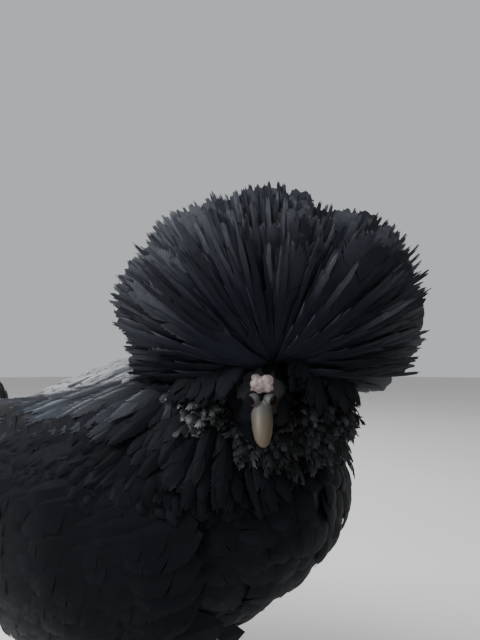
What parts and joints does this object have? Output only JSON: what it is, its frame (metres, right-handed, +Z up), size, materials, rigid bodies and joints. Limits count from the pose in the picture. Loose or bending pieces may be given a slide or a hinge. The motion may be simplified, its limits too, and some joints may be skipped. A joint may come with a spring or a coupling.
{
  "type": "polish crested chicken",
  "caption": "Life-size still model of a standing black bearded crested hen, head turned to its right, with a globe crest, folded wings and a tented tail.",
  "frame": {"origin": "on the floor, under the middle of the bird's bounding box", "axes": "+Z up, the body faces -Y, its left side is +X, and its head is turned about 62 degrees to its right, towards -X"},
  "size_m": [0.1802, 0.4042, 0.3162],
  "materials": {
    "black_plumage": "black feathers with a faint blue-green gloss",
    "face_skin": "matt red-brown face skin",
    "pale_skin": "pale pinkish skin",
    "horn": "satin pale horn",
    "slate_scale": "slate blue-grey scales",
    "claw_horn": "dark horn",
    "eye_bay": "wet reddish bay"
  },
  "bodies": {
    "root": {"torso": "black_plumage", "neck": "black_plumage", "beard": "black_plumage", "muff_left": "black_plumage", "muff_right": "black_plumage", "crest": "black_plumage", "tail": "black_plumage", "wing_left": "black_plumage", "wing_right": "black_plumage", "thigh_left": "black_plumage", "thigh_right": "black_plumage", "head": "face_skin", "comb": "pale_skin", "bill_upper": "horn", "bill_lower": "horn", "eye_left": "eye_bay", "shank_left": "slate_scale", "foot_left": "slate_scale", "claw_inner_left": "claw_horn", "claw_middle_left": "claw_horn", "claw_outer_left": "claw_horn", "claw_hind_left": "claw_horn", "eye_right": "eye_bay", "shank_right": "slate_scale", "foot_right": "slate_scale", "claw_inner_right": "claw_horn", "claw_middle_right": "claw_horn", "claw_outer_right": "claw_horn", "claw_hind_right": "claw_horn"}
  },
  "joints": []
}
